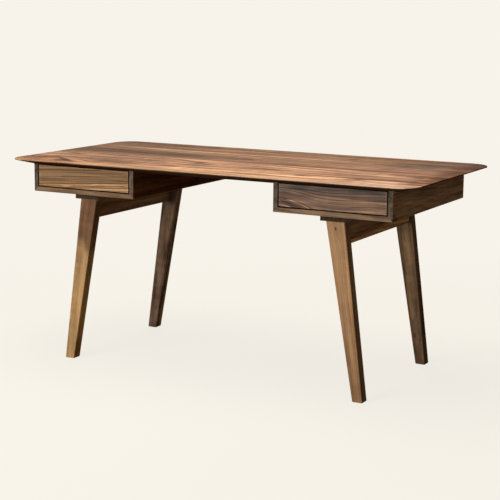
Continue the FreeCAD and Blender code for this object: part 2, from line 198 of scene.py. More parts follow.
def makeGrainGroup(look):
    group, given, result = newGroup("woodGrain", grainInputs, grainOutputs)
    board = given["Board"]
    seed = given["Seed"]
    place = vectorCalc(group, "ADD", board, scaled(group, look["shift"], seed))

    # rings round the heart, which wander along the board
    drift = scaled(group, wander(group, place, look["drift"]), given["Waver"])
    ripple = wander(group, place, look["ripple"])
    section = vectorCalc(group, "SUBTRACT", board, given["Heart"])
    section = vectorCalc(group, "ADD", section, stretched(group, drift, look["driftReach"]))
    section = vectorCalc(group, "ADD", section, stretched(group, ripple, look["rippleReach"]))
    reach = lengthOf(group, stretched(group, section, (0.0, 1.0, 1.0)))
    along = partsOf(group, board)[0]
    reach = calc(group, "MULTIPLY_ADD", along, given["Taper"], reach)
    reach = calc(group, "ADD", reach, given["Swell"])
    rings = calc(group, "DIVIDE", reach, given["Ring"])
    quickness, amount = look["ringDrift"]
    slowRings = calc(group, "MULTIPLY_ADD", rings, quickness, seed)
    feeds = {"W": slowRings, "Scale": 1.0, "Detail": 1.0}
    spread = addNode(group, "TexNoise", feeds, noise_dimensions="1D").outputs["Fac"]
    rings = calc(group, "MULTIPLY_ADD", spread, amount, rings)
    ringPart = calc(group, "FRACT", rings)
    ringSeed = calc(group, "MULTIPLY", seed, look["ringSeed"])
    ringTone = draw(group, calc(group, "ADD", calc(group, "FLOOR", rings), ringSeed))
    ringLine = ramp(group, ringPart, [(spot, (grey,) * 3) for spot, grey in look["ringLine"]])
    ringLine = calc(group, "MULTIPLY", ringLine, calc(group, "MULTIPLY_ADD", ringTone, *look["ringFaint"]))

    # colour streaks follow the rings; flames, fibres and pores run along the board
    streakAlong, streakAcross, streakSeed = look["streakPlace"]
    streakPlace = joined(
        group,
        calc(group, "MULTIPLY_ADD", along, streakAlong, seed),
        calc(group, "MULTIPLY", reach, streakAcross),
        calc(group, "MULTIPLY", seed, streakSeed),
    )
    streak = noise(group, streakPlace, *look["streak"])
    hueStreak = grainLayer(group, streakPlace, look["hue"])
    flame = grainLayer(group, place, given["Figure"], *look["flame"])
    fibre, hair, pore, curl = (grainLayer(group, place, *look[name])
                               for name in ("fibre", "hair", "pore", "curl"))
    pore = calc(group, "MULTIPLY", remap(group, pore, *look["poreFade"]), given["Pores"])

    tone = 0.5    # halfway from dark to light
    for layer, weight in (
        (streak, given["Streaks"]),
        (flame, given["Flame"]),
        (curl, given["Curl"]),
        (ringTone, look["ringWeight"]),
        (fibre, look["fibreWeight"]),
        (hair, look["hairWeight"]),
    ):
        tone = calc(group, "MULTIPLY_ADD", centred(group, layer), weight, tone)
    tone = calc(group, "SUBTRACT", tone, calc(group, "MULTIPLY", ringLine, given["Lines"]))
    lowHalf = calc(group, "MULTIPLY", tone, 2.0, clamp=True)
    highHalf = calc(group, "MULTIPLY_ADD", tone, 2.0, -1.0, clamp=True)
    colour = blendColour(group, lowHalf, given["Dark"], given["Middle"])
    colour = blendColour(group, highHalf, colour, given["Light"])
    colour = blendColour(group, remap(group, hueStreak, *look["castFade"]), colour, given["Cast"])
    colour = blendColour(group, calc(group, "MULTIPLY", pore, look["poreShade"]), colour, given["Dark"])
    colour = blendColour(group, given["Knot"], colour, opaque(look["knot"]))
    colour = scaled(group, colour, calc(group, "MULTIPLY_ADD", given["End"], look["endShade"], 1.0))

    shares = look["gloss"]
    gloss = calc(group, "MULTIPLY_ADD", centred(group, fibre), shares["fibre"], shares["plain"])
    gloss = calc(group, "MULTIPLY_ADD", pore, shares["pore"], gloss)
    gloss = calc(group, "MULTIPLY_ADD", given["End"], shares["end"], gloss)
    shares = look["height"]
    height = calc(group, "MULTIPLY", fibre, shares["fibre"])
    height = calc(group, "MULTIPLY_ADD", hair, shares["hair"], height)
    height = calc(group, "SUBTRACT", height, calc(group, "MULTIPLY", pore, shares["pore"]))
    height = calc(group, "MULTIPLY_ADD", ringLine, shares["ring"], height)
    for name, value in (("Colour", colour), ("Roughness", gloss), ("Height", height)):
        group.links.new(value, result[name])
    return group


grainGroup = makeGrainGroup(grainLook)

# a patch is 1 inside a box with ragged, soft borders; the box can slope across the grain
patchInputs = {"Board": "Vector", "Middle": "Vector", "Half": "Vector", "Soft": "Float", "Slope": "Float"}
patchLook = {
    "ragged": (4.0, 38.0, 38.0),    # how fine the borders' raggedness is
    "raggedNoise": (3.0, 0.6),      # detail, roughness
    "wander": 3.0,                  # how far the borders wander, in softnesses
    "drawnOut": 0.16,               # the ends' borders are as soft as the sides' divided by this
}


def makePatchGroup(look):
    group, given, result = newGroup("grainPatch", patchInputs, {"Share": "Float"})
    offset = vectorCalc(group, "SUBTRACT", given["Board"], given["Middle"])
    rise = calc(group, "MULTIPLY", partsOf(group, offset)[0], given["Slope"])
    sloped = vectorCalc(group, "SUBTRACT", offset, joined(group, 0.0, rise, rise))
    noisePlace = vectorCalc(group, "ADD", given["Board"], given["Middle"])
    ragged = grainLayer(group, noisePlace, look["ragged"], *look["raggedNoise"])
    beyond = vectorCalc(group, "SUBTRACT", vectorCalc(group, "ABSOLUTE", sloped), given["Half"])
    sides = partsOf(group, beyond)
    outside = calc(group, "MAXIMUM", calc(group, "MULTIPLY", sides[0], look["drawnOut"]),
                   calc(group, "MAXIMUM", sides[1], sides[2]))
    border = calc(group, "MULTIPLY", centred(group, ragged), given["Soft"])
    outside = calc(group, "MULTIPLY_ADD", border, look["wander"], outside)
    inner = calc(group, "MULTIPLY", given["Soft"], -1.0)
    group.links.new(remap(group, outside, inner, given["Soft"], 1.0, 0.0), result["Share"])
    return group


patchGroup = makePatchGroup(patchLook)

walnutLook = {
    "dark": (0.085, 0.048, 0.027),
    "middle": (0.23, 0.14, 0.078),
    "light": (0.38, 0.25, 0.145),
    "cast": (0.17, 0.125, 0.095),
    "ring": 0.0045,
    "lines": 0.45,
    "streaks": 1.5,
    "flame": 1.6,
    "figure": (4.5, 52.0, 52.0),
    "curl": 0.3,
    "pores": 0.6,
    "waver": 0.012,
    "taper": 0.02,
    "heart": (0.0, 0.03, -0.16),
    "seed": 1.0,
    "specular": 0.03,
    "bump": 0.35,
    "edge": 0.35,    # how much the arrises are paled: partly rubbed wear, partly a painted highlight
    "matt": 0.5,     # how much rougher the rim with its painted shade and the flanks with their painted light and shade are
}


def boardPlace(tree, middle, turn):
    spot = addNode(tree, "TexCoord")
    feeds = {"Vector": spot.outputs["Object"], "Location": middle, "Rotation": turn}
    return addNode(tree, "Mapping", feeds, vector_type="TEXTURE").outputs[0], spot.outputs["Normal"]


knotLook = {"long": 0.45, "depth": 0.85, "fade": 0.35}    # its shape, its dark, and where that begins to fade


def knotFeeds(tree, board, knots):
    # a knot is a branch that crosses the board along one of its axes
    swell = 0.0
    heart = 0.0
    for knot in knots:
        knot = {**knotLook, **knot}
        flat = [0.0 if axis == knot["across"] else 1.0 for axis in "xyz"]
        offset = stretched(tree, vectorCalc(tree, "SUBTRACT", board, knot["middle"]), flat)
        offset = stretched(tree, offset, (knot["long"], 1.0, 1.0))
        away = lengthOf(tree, offset)
        bulge = calc(tree, "DIVIDE", away, knot["reach"])
        fall = calc(tree, "MULTIPLY", calc(tree, "MULTIPLY", bulge, bulge), -1.0)
        bulge = calc(tree, "POWER", 2.718, fall)    # the bell curve
        swell = calc(tree, "MULTIPLY_ADD", bulge, knot["swell"], swell)
        core = remap(tree, away, knot["core"] * knot["fade"], knot["core"], 1.0, 0.0)
        heart = calc(tree, "MAXIMUM", heart, calc(tree, "MULTIPLY", core, knot["depth"]))
    return swell, heart


def patchColour(tree, board, colour, patches):
    # each patch: middle, half size, softness, slope, tint
    for middle, half, soft, slope, tint in patches:
        feeds = {"Board": board, "Middle": middle, "Half": half, "Soft": soft, "Slope": slope}
        share = addNode(tree, "Group", feeds, node_tree=patchGroup).outputs["Share"]
        colour = tinted(tree, share, colour, tint)
    return colour


finishLook = {
    "arris": 0.0012,            # radius of the paler edges, metres
    "samples": 4,
    "bend": (0.98, 0.8),        # how sharp the bend is where the paler edge begins and where it is full
    "rubAndHighlight": (1.5, 1.45, 1.4),
    "bumpDepth": 0.0006,
}


def finishWood(tree, look, colour, roughness, height):
    # arrises are a little paler than the flats: partly rubbed wear, partly a painted highlight
    sharp = addNode(tree, "NewGeometry").outputs["Normal"]
    rounded = addNode(tree, "Bevel", {"Radius": finishLook["arris"]}, samples=finishLook["samples"])
    bend = vectorCalc(tree, "DOT_PRODUCT", sharp, rounded.outputs["Normal"], output="Value")
    rubAndHighlightShare = calc(tree, "MULTIPLY", remap(tree, bend, *finishLook["bend"]), look["edge"])
    feeds = {"Strength": look["bump"], "Distance": finishLook["bumpDepth"], "Height": height}
    shader = addNode(tree, "BsdfPrincipled", {
        "Base Color": tinted(tree, rubAndHighlightShare, colour, finishLook["rubAndHighlight"]),
        "Roughness": roughness,
        "Normal": addNode(tree, "Bump", feeds).outputs["Normal"],
        "Specular IOR Level": look["specular"],
    })
    addNode(tree, "OutputMaterial", {"Surface": shader.outputs[0]})


def freshTree(name):
    material = bpy.data.materials.new(name)
    material.use_nodes = True
    material.node_tree.nodes.clear()
    return material, material.node_tree


def grainNode(tree, look, board, end, **extra):
    feeds = {"Board": board, "Seed": look["seed"], "Heart": look["heart"], "End": end}
    for socket in ("Ring", "Lines", "Streaks", "Flame", "Figure", "Curl", "Pores", "Waver", "Taper"):
        feeds[socket] = look[socket.lower()]
    for socket in ("Dark", "Middle", "Light", "Cast"):
        feeds[socket] = opaque(look[socket.lower()])
    return addNode(tree, "Group", {**feeds, **extra}, node_tree=grainGroup).outputs


facing = {"end": (0.7, 0.95), "flankShading": (0.6, 0.9)}    # how squarely a face looks along an axis to count


def endShare(tree, normal, turn):
    axis = Euler(turn).to_matrix() @ Vector((1.0, 0.0, 0.0))
    square = calc(tree, "ABSOLUTE", vectorCalc(tree, "DOT_PRODUCT", normal, tuple(axis), output="Value"))
    return remap(tree, square, *facing["end"])


def makeBoardMaterial(name, middle, turn, look):
    material, tree = freshTree(name)
    board, normal = boardPlace(tree, middle, turn)
    swell, knot = knotFeeds(tree, board, look.get("knots", ()))
    end = endShare(tree, normal, turn)
    grain = grainNode(tree, look, board, end, Swell=swell, Knot=knot)
    gloss = grain["Roughness"]
    colour = patchColour(tree, board, grain["Colour"], look.get("patches", ()))
    if "end" in look:
        colour = tinted(tree, end, colour, look["end"])
    # a board's sides, the faces that look along x, get painted light and shade in their own flank tint, and
    # are made rougher
    if "flankShading" in look:
        flankShading = remap(tree, calc(tree, "ABSOLUTE", partsOf(tree, normal)[0]), *facing["flankShading"])
        gloss = calc(tree, "MULTIPLY_ADD", flankShading, look["matt"], gloss, clamp=True)
        colour = tinted(tree, flankShading, colour, look["flankShading"])
    finishWood(tree, look, colour, gloss, grain["Height"])
    return material


def dress(node, material):
    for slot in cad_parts[node].material_slots:
        slot.material = material


def middleOf(node):
    low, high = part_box(node)
    return tuple((first + second) / 2 for first, second in zip(low, high))


alongX = (0.0, 0.0, 0.0)
alongY = (0.0, 0.0, math.pi / 2)


# The desk top: planks side by side, each with its own heart and tone

topLook = {
    **walnutLook,
    "dark": (0.10, 0.047, 0.027),
    "middle": (0.30, 0.166, 0.097),
    "light": (0.60, 0.348, 0.203),
    "cast": (0.19, 0.118, 0.077),
    "lines": 0.95,
    "ring": 0.014,
    "streaks": 2.6,
    "flame": 2.2,
    "wilder": 3.2,               # the flames grow stronger from the front plank to the rear one
    "figure": (2.3, 54.0, 54.0),
    "curl": 0.5,
    "specular": 0.015,
    "paler": (0.90, 1.135),      # from the left end to the right end
    "palerFrom": (-0.8, 0.7),    # where along the top that begins and ends, metres
    "rimShade": (0.085, 0.064, 0.045),    # tint of the painted shade on the edge band and the bevel under it
    "rimFade": (0.0100, 0.0118),     # how far above the board's middle it gives way to the face, metres
    "turning": (0.05, 0.55),     # where along the top the left tone gives way to the right one
    "seeds": (43.0, 2.0),        # these three: the spread over the planks, and where it starts
    "hearts": ((0.16, -0.08), (-0.16, -0.03)),
    "tapers": (0.08, -0.04),
    "glue": (0.05, 0.028, 0.016),
    "glueFade": (0.0003, 0.0009, 0.55, 0.0),    # from a joint: where the line fades, and its shares
    "planks": (                  # rear edge in metres, tone at the left, tone at the right
        (-0.255, (0.91, 0.91, 0.84), (0.98, 1.00, 1.00)),
        (-0.155, (0.72, 0.70, 0.67), (0.68, 0.63, 0.60)),
        (-0.040, (0.67, 0.64, 0.62), (0.51, 0.49, 0.48)),
        (0.125, (0.322, 0.298, 0.276), (0.59, 0.545, 0.515)),
        (0.220, (0.535, 0.515, 0.485), (0.315, 0.29, 0.27)),
        (0.310, (0.53, 0.495, 0.435), (0.243, 0.220, 0.203)),
        (0.400, (0.346, 0.318, 0.288), (0.338, 0.277, 0.234)),
    ),
    "patches": (                 # middle, half size, softness, slope, tint
        ((-0.62, -0.33, 0.0), (0.13, 0.07, 0.1), 0.016, 0.0, (0.56, 0.48, 0.45)),
        ((-0.650, -0.268, 0.0), (0.045, 0.011, 0.1), 0.007, -0.75, (0.40, 0.35, 0.32)),
        ((-0.610, -0.298, 0.0), (0.022, 0.014, 0.1), 0.010, -0.4, (0.42, 0.38, 0.36)),
        ((-0.54, -0.205, 0.0), (0.11, 0.045, 0.1), 0.020, 0.0, (0.66, 0.65, 0.65)),
        ((0.10, -0.305, 0.0), (0.26, 0.028, 0.1), 0.014, 0.03, (1.12, 1.11, 1.08)),
        ((0.60, -0.30, 0.0), (0.11, 0.05, 0.1), 0.012, 0.05, (1.14, 1.08, 1.05)),
        # this patch and the next are painted highlights: on the front right of the top, and a bright line
        # along its rounded front edge
        ((0.66, -0.350, 0.0), (0.11, 0.040, 0.1), 0.010, 0.0, (1.07, 1.20, 1.34)),
        ((0.40, -0.398, 0.0), (0.32, 0.003, 0.1), 0.002, 0.0, (1.25, 1.36, 1.5)),
        ((0.54, -0.285, 0.0), (0.03, 0.05, 0.1), 0.008, 0.0, (0.72, 0.68, 0.66)),
        ((0.50, -0.340, 0.0), (0.07, 0.005, 0.1), 0.004, 0.12, (0.70, 0.66, 0.62)),
        ((0.04, -0.205, 0.0), (0.42, 0.040, 0.1), 0.010, 0.0, (1.11, 1.12, 1.12)),
        ((0.22, 0.268, 0.0), (0.20, 0.042, 0.1), 0.020, 0.0, (0.87, 0.85, 0.84)),
        ((0.06, -0.10, 0.0), (0.14, 0.050, 0.1), 0.020, 0.0, (0.83, 0.82, 0.84)),
        ((0.42, -0.11, 0.0), (0.30, 0.035, 0.1), 0.016, 0.0, (1.60, 1.62, 1.60)),
        ((-0.66, -0.09, 0.0), (0.07, 0.05, 0.1), 0.016, 0.0, (0.78, 0.78, 0.78)),
        ((-0.25, -0.098, 0.0), (0.14, 0.050, 0.1), 0.010, 0.0, (0.83, 0.80, 0.80)),
        ((-0.35, 0.045, 0.0), (0.16, 0.05, 0.1), 0.016, 0.0, (0.74, 0.74, 0.78)),
        ((0.35, -0.012, 0.0), (0.34, 0.012, 0.1), 0.008, 0.01, (0.80, 0.76, 0.74)),
        ((-0.50, 0.18, 0.0), (0.06, 0.014, 0.1), 0.008, 0.0, (1.12, 1.3, 1.3)),
        ((0.42, 0.165, 0.0), (0.04, 0.02, 0.1), 0.008, -0.5, (1.25, 1.22, 1.2)),
        ((0.36, 0.21, 0.0), (0.03, 0.012, 0.1), 0.006, -0.4, (0.66, 0.64, 0.62)),
        ((0.62, 0.20, 0.0), (0.08, 0.07, 0.1), 0.014, 0.0, (0.66, 0.78, 0.92)),
        ((-0.62, 0.36, 0.0), (0.14, 0.04, 0.1), 0.014, 0.0, (0.69, 0.69, 0.69)),
        ((0.05, 0.355, 0.0), (0.14, 0.043, 0.1), 0.010, 0.0, (0.63, 0.63, 0.65)),
        ((0.80, 0.035, 0.0), (0.072, 0.345, 0.1), 0.007, 0.0, (0.515, 0.375, 0.29)),
        ((0.765, -0.212, 0.0), (0.018, 0.012, 0.1), 0.0025, 0.0, (2.5, 3.1, 3.4)),
        ((0.758, -0.128, 0.0), (0.020, 0.018, 0.1), 0.003, 0.0, (2.3, 2.5, 1.8)),
    ),
    "knots": (
        {"middle": (-0.61, -0.298, 0.0), "across": "z", "reach": 0.05, "swell": 0.03, "core": 0.012,
         "depth": 0.95},
        {"middle": (0.42, 0.2, 0.0), "across": "z", "reach": 0.05, "swell": 0.03, "core": 0.004},
    ),
}

topShape = {"middle": (0.0, 0.0, 0.737), "front": -0.4, "rear": 0.4}


def plankRamps(look):
    # the stops of three ramps across the top; a fact holds a plank's middle, a tenth of its number and
    # half its width
    reach = topShape["rear"] - topShape["front"]
    front = topShape["front"]
    facts, leftTones, rightTones = [], [], []
    for number, (rear, leftTone, rightTone) in enumerate(look["planks"]):
        spot = (front - topShape["front"]) / reach
        middle = (front + rear) / 2 + 0.5    # kept 0.5 higher, because a colour can't be negative
        facts.append((spot, (middle, number / 10.0, (rear - front) / 2)))
        leftTones.append((spot, leftTone))
        rightTones.append((spot, rightTone))
        front = rear
    return facts, leftTones, rightTones


def makeTopMaterial(look):
    material, tree = freshTree("top_planks")
    board, normal = boardPlace(tree, topShape["middle"], alongX)
    parts = partsOf(tree, board)
    across = remap(tree, parts[1], topShape["front"], topShape["rear"], smooth=False)
    facts, leftTone, rightTone = (ramp(tree, across, stops, "CONSTANT") for stops in plankRamps(look))
    middle, number, half = partsOf(tree, facts)
    tone = blendColour(tree, remap(tree, parts[0], *look["turning"]), leftTone, rightTone)
    fromMiddle = calc(tree, "SUBTRACT", parts[1], centred(tree, middle))
    seed = calc(tree, "MULTIPLY_ADD", number, *look["seeds"])
    flame = calc(tree, "MULTIPLY_ADD", number, look["wilder"], look["flame"])
    draws = partsOf(tree, draw(tree, seed, "Color"))
    hearts = [calc(tree, "MULTIPLY_ADD", drawn, *heart) for drawn, heart in zip(draws, look["hearts"])]
    taper = calc(tree, "MULTIPLY_ADD", draws[2], *look["tapers"])
    plankBoard = joined(tree, parts[0], fromMiddle, parts[2])
    swell, knot = knotFeeds(tree, board, look["knots"])
    grain = grainNode(tree, look, plankBoard, endShare(tree, normal, alongX), Seed=seed,
                      Heart=joined(tree, 0.0, *hearts), Taper=taper, Flame=flame, Swell=swell, Knot=knot)
    colour = stretched(tree, grain["Colour"], tone)
    # the planks' tones are written at half strength, which keeps them below 1 in their ramps
    left, right = look["paler"]
    paler = remap(tree, parts[0], *look["palerFrom"], 2 * left, 2 * right, smooth=False)
    colour = scaled(tree, colour, paler)
    colour = patchColour(tree, board, colour, look["patches"])
    # painted shade on the edge band, the bevel and all below them, which are also made rougher
    rimShade = remap(tree, parts[2], *look["rimFade"], 1.0, 0.0)
    colour = tinted(tree, rimShade, colour, look["rimShade"])
    gloss = calc(tree, "MULTIPLY_ADD", rimShade, look["matt"], grain["Roughness"], clamp=True)
    edge = calc(tree, "SUBTRACT", half, calc(tree, "ABSOLUTE", fromMiddle))
    colour = blendColour(tree, remap(tree, edge, *look["glueFade"]), colour, opaque(look["glue"]))
    finishWood(tree, look, colour, gloss, grain["Height"])
    return material


dress("desk_top", makeTopMaterial(topLook))
print("dressed the top")


# The casings, the leg frames and the drawers, board by board

boardLooks = {
    "casing_bottom": {"middle": (0.21, 0.125, 0.07), "light": (0.33, 0.21, 0.13), "heart": (0.0, 0.05, -0.12),
                      "grain": alongX},
    "casing_inboard_side": {"heart": (0.0, -0.2, -0.04), "grain": alongY, "end": (0.36, 0.50, 0.81)},
    "casing_outboard_side": {"heart": (0.0, -0.16, -0.05), "grain": alongY, "end": (0.36, 0.51, 0.82)},
    "casing_back": {"heart": (0.0, 0.1, -0.09), "grain": alongX},
    "frame_bearer": {"heart": (0.0, 0.02, -0.14), "grain": alongY, "end": (0.21, 0.25, 0.34)},
    "frame_rail": {"heart": (0.0, -0.12, -0.06), "grain": alongY, "flankShading": (0.88, 0.86, 0.80)},
}

# darker walnut for the casing boards other than the bottoms, partly painted shade for the casing's sides
casingDarkWoodAndShade = {"dark": (0.13, 0.058, 0.024), "middle": (0.34, 0.172, 0.074), "light": (0.50, 0.28, 0.135),
              "cast": (0.24, 0.14, 0.068), "specular": 0.02, "flame": 2.2, "figure": (2.5, 60.0, 60.0)}

# painted shade on the faces toward the drawer, where the gap round it is dark; "face" is their distance from
# a board's middle
gapShade = {"tint": (0.12, 0.11, 0.10), "depth": 0.0014, "soft": 0.0008, "face": 0.009}


def gapShaded(place):
    half = tuple(gapShade["depth"] if part else 1.0 for part in place)
    return ((place, half, gapShade["soft"], 0.0, gapShade["tint"]),)


towardLeft = {"patches": gapShaded((0.0, gapShade["face"], 0.0))}
towardRight = {"patches": gapShaded((0.0, -gapShade["face"], 0.0))}
upward = {"patches": gapShaded((0.0, 0.0, gapShade["face"]))}

# what sets a board apart from the rest of its kind
boardStock = {
    "left_casing_bottom": {**upward, "middle": (0.17, 0.10, 0.055), "light": (0.28, 0.174, 0.10)},
    "right_casing_bottom": {**upward, "middle": (0.285, 0.175, 0.104), "light": (0.41, 0.27, 0.175)},
    # the left casing's inboard side, toward the knee space, has a darker palette: painted shade
    "left_casing_inboard_side": {**towardLeft, "dark": (0.075, 0.034, 0.015), "middle": (0.19, 0.094, 0.045),
                                 "light": (0.30, 0.165, 0.08), "cast": (0.14, 0.08, 0.042),
                                 "end": (0.70, 0.97, 1.5), "flankShading": (0.73, 0.46, 0.285),
                                 "specular": 0.008},
    "left_casing_outboard_side": towardRight,
    "right_casing_inboard_side": towardRight,
    "right_casing_outboard_side": {
        "end": (0.47, 0.69, 1.10), "flankShading": (1.30, 1.33, 1.33),
        "patches": (*towardLeft["patches"],
                    ((0.25, 0.0, 0.0), (0.28, 0.1, 0.1), 0.12, 0.0, (0.80, 0.77, 0.83))),
    },
    "right_frame_rail": {
        "flankShading": (1.42, 1.38, 1.32),
        "patches": (((0.00, 0.0, -0.030), (0.40, 0.1, 0.006), 0.005, 0.01, (1.75, 1.75, 1.5)),
                    ((0.10, 0.0, -0.004), (0.30, 0.1, 0.007), 0.006, 0.03, (0.62, 0.58, 0.52)),
                    ((-0.12, 0.0, 0.020), (0.16, 0.1, 0.004), 0.004, 0.02, (1.55, 1.55, 1.4))),
    },
}

handSeeds = {"left": 3.0, "right": 11.0}
seedSteps = {"casings": 1.37, "boxes": 1.9, "tenons": 2.0}    # from board to board

for hand, handSeed in handSeeds.items():
    for number, (kind, change) in enumerate(boardLooks.items()):
        node = hand + "_" + kind
        palette = {} if kind == "casing_bottom" else casingDarkWoodAndShade
        seed = handSeed + number * seedSteps["casings"]
        look = {**walnutLook, **palette, **change, **boardStock.get(node, {}), "seed": seed}
        dress(node, makeBoardMaterial(node, middleOf(node), look["grain"], look))
print("dressed the casings")

frontLooks = {
    "left": {
        "dark": (0.085, 0.042, 0.018), "middle": (0.235, 0.135, 0.068), "light": (0.45, 0.28, 0.15),
        "cast": (0.22, 0.14, 0.075), "seed": 5.2, "heart": (0.0, 0.05, -0.34), "taper": -0.062,
        "lines": 1.3, "ring": 0.010, "waver": 0.004, "streaks": 2.2, "flame": 1.8, "curl": 0.15, "edge": 0.8,
        "figure": (2.5, 90.0, 90.0),
        "patches": (    # middle, half size, softness, slope, tint
            ((-0.06, 0.0, 0.0283), (0.14, 0.1, 0.0017), 0.0012, 0.050, (0.40, 0.35, 0.31)),
            ((-0.11, 0.0, 0.0330), (0.09, 0.1, 0.0022), 0.0018, 0.055, (1.5, 1.4, 1.5)),
            ((0.00, 0.0, -0.0171), (0.20, 0.1, 0.0017), 0.0012, 0.064, (0.36, 0.32, 0.28)),
            ((0.06, 0.0, -0.0235), (0.12, 0.1, 0.0014), 0.0011, 0.065, (0.40, 0.35, 0.31)),
            ((-0.14, 0.0, -0.0345), (0.05, 0.1, 0.0014), 0.0011, 0.055, (0.42, 0.34, 0.29)),
            ((-0.115, 0.0, -0.0192), (0.08, 0.1, 0.0016), 0.0012, 0.060, (1.6, 1.5, 1.25)),
            ((0.12, 0.0, -0.0140), (0.08, 0.1, 0.0022), 0.0016, 0.065, (1.6, 1.6, 1.4)),
            ((-0.12, 0.0, -0.0330), (0.07, 0.1, 0.0022), 0.0018, 0.050, (1.35, 1.35, 1.2)),
            ((-0.02, 0.0, -0.0240), (0.08, 0.1, 0.0015), 0.0015, 0.070, (1.30, 1.3, 1.3)),
            ((0.05, 0.0, 0.0120), (0.14, 0.1, 0.0012), 0.0018, 0.058, (0.70, 0.68, 0.66)),
            ((0.00, 0.0, -0.0240), (0.20, 0.1, 0.0160), 0.0060, 0.030, (1.52, 1.50, 1.50)),
        ),
    },
    "right": {
        "dark": (0.052, 0.031, 0.022), "middle": (0.185, 0.113, 0.077), "light": (0.34, 0.22, 0.15),
        "cast": (0.125, 0.092, 0.076), "seed": 8.4, "heart": (0.0, 0.04, -0.3), "taper": -0.055,
        "lines": 1.35, "ring": 0.0085, "waver": 0.006, "streaks": 2.0, "flame": 1.9, "edge": 0.8,
        "figure": (3.0, 80.0, 80.0),
        "knots": (
            {"middle": (-0.19, 0.0, -0.045), "across": "y", "reach": 0.075, "swell": -0.07, "core": 0.001,
             "long": 0.7},
        ),
        "patches": (    # middle, half size, softness, slope, tint
            ((0.00, 0.0, 0.0330), (0.20, 0.1, 0.0110), 0.0050, 0.020, (0.76, 0.87, 0.99)),
            ((-0.117, 0.0, 0.0290), (0.03, 0.1, 0.0070), 0.0040, 0.000, (0.66, 0.70, 0.72)),
            ((-0.137, 0.0, 0.0100), (0.015, 0.1, 0.0045), 0.0030, -0.100, (1.5, 1.4, 1.15)),
            ((-0.120, 0.0, -0.0250), (0.034, 0.1, 0.0022), 0.0018, -0.320, (1.95, 1.9, 1.75)),
            ((-0.173, 0.0, -0.0350), (0.020, 0.1, 0.0030), 0.0018, -0.190, (2.2, 2.2, 2.0)),
            ((-0.150, 0.0, -0.0265), (0.040, 0.1, 0.0028), 0.0020, -0.210, (0.52, 0.50, 0.62)),
            ((0.105, 0.0, -0.0330), (0.085, 0.1, 0.0026), 0.0018, 0.060, (1.7, 1.62, 1.45)),
            ((0.130, 0.0, -0.0180), (0.060, 0.1, 0.0014), 0.0014, 0.060, (0.52, 0.48, 0.46)),
            ((0.080, 0.0, -0.0070), (0.090, 0.1, 0.0013), 0.0014, 0.055, (0.58, 0.54, 0.52)),
            ((0.120, 0.0, -0.0050), (0.070, 0.1, 0.0120), 0.0080, 0.050, (1.25, 1.2, 1.1)),
            ((0.030, 0.0, -0.0200), (0.170, 0.1, 0.0200), 0.0080, 0.020, (1.72, 1.62, 1.48)),
        ),
    },
}

frontEnds = {"inset": 0.002, "half": (0.0018, 0.1, 0.1), "soft": 0.001, "tint": (1.3, 1.3, 1.35),
             "end": (0.20, 0.17, 0.15)}    # painted highlight lines at the ends of a front, and the tint of its end faces: darker end grain and painted shade from the gap beside them

for hand, change in frontLooks.items():
    node = hand + "_drawer_front"
    low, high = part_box(node)
    arris = (high[0] - low[0]) / 2 - frontEnds["inset"]
    endHighlights = tuple(((place, 0.0, 0.0), frontEnds["half"], frontEnds["soft"], 0.0, frontEnds["tint"])
                 for place in (-arris, arris))
    look = {**walnutLook, "end": frontEnds["end"], **change, "patches": change["patches"] + endHighlights}
    dress(node, makeBoardMaterial(node, middleOf(node), alongX, look))

# each leg's flank tint paints light and shade on its sides
legLooks = {
    "left_front": {
        "seed": 21.3, "flame": 1.1, "streaks": 1.2, "curl": 0.6, "flankShading": (1.24, 1.04, 0.58),
        "dark": (0.185, 0.098, 0.040), "middle": (0.49, 0.285, 0.117), "light": (0.67, 0.41, 0.172),
        "patches": (((-0.240, 0.0, 0.0), (0.09, 0.1, 0.1), 0.005, 0.0, (0.45, 0.39, 0.44)),
                    ((-0.130, 0.0, 0.016), (0.022, 0.1, 0.016), 0.004, 0.0, (0.54, 0.48, 0.50)),
                    ((0.26, 0.0, 0.0), (0.11, 0.1, 0.1), 0.05, 0.0, (0.61, 0.63, 0.67)),
                    ((0.275, 0.0, 0.014), (0.040, 0.1, 0.004), 0.004, 0.0, (0.58, 0.53, 0.60))),
    },
    "left_rear": {
        "seed": 24.6, "flame": 3.0, "streaks": 2.8, "curl": 1.2, "flankShading": (1.65, 1.48, 1.10),
        "dark": (0.055, 0.032, 0.02), "middle": (0.14, 0.085, 0.055), "light": (0.23, 0.145, 0.095),
        "patches": (((-0.08, 0.0, 0.0), (0.17, 0.1, 0.1), 0.03, 0.0, (0.90, 0.86, 0.76)),),
    },
    "right_front": {
        "seed": 27.1, "flame": 0.8, "streaks": 1.0, "flankShading": (0.70, 0.63, 0.59),
        "dark": (0.21, 0.11, 0.049), "middle": (0.52, 0.29, 0.134), "light": (0.67, 0.39, 0.187),
        "knots": ({"middle": (-0.283, 0.0, 0.006), "across": "y", "reach": 0.018, "swell": 0.012,
                   "core": 0.004},),
        "patches": (((0.26, 0.0, 0.0), (0.11, 0.1, 0.1), 0.05, 0.0, (0.57, 0.52, 0.47)),),
    },
    "right_rear": {
        "seed": 29.8, "flame": 3.2, "streaks": 3.0, "curl": 0.9, "flankShading": (1.05, 0.95, 0.80),
        "dark": (0.06, 0.034, 0.017), "middle": (0.15, 0.087, 0.040), "light": (0.25, 0.155, 0.080),
        "knots": ({"middle": (0.20, 0.0, 0.0), "across": "y", "reach": 0.028, "swell": 0.022,
                   "core": 0.008, "depth": 0.55},),
        "patches": (((0.22, 0.0, 0.0), (0.16, 0.1, 0.1), 0.09, 0.0, (0.70, 0.55, 0.42)),
                    ((-0.24, 0.0, 0.0), (0.12, 0.1, 0.1), 0.02, 0.0, (1.20, 1.16, 1.06))),
    },
}
legShape = {"splay": 0.095, "height": 0.611}    # how far a leg leans out over its height, metres
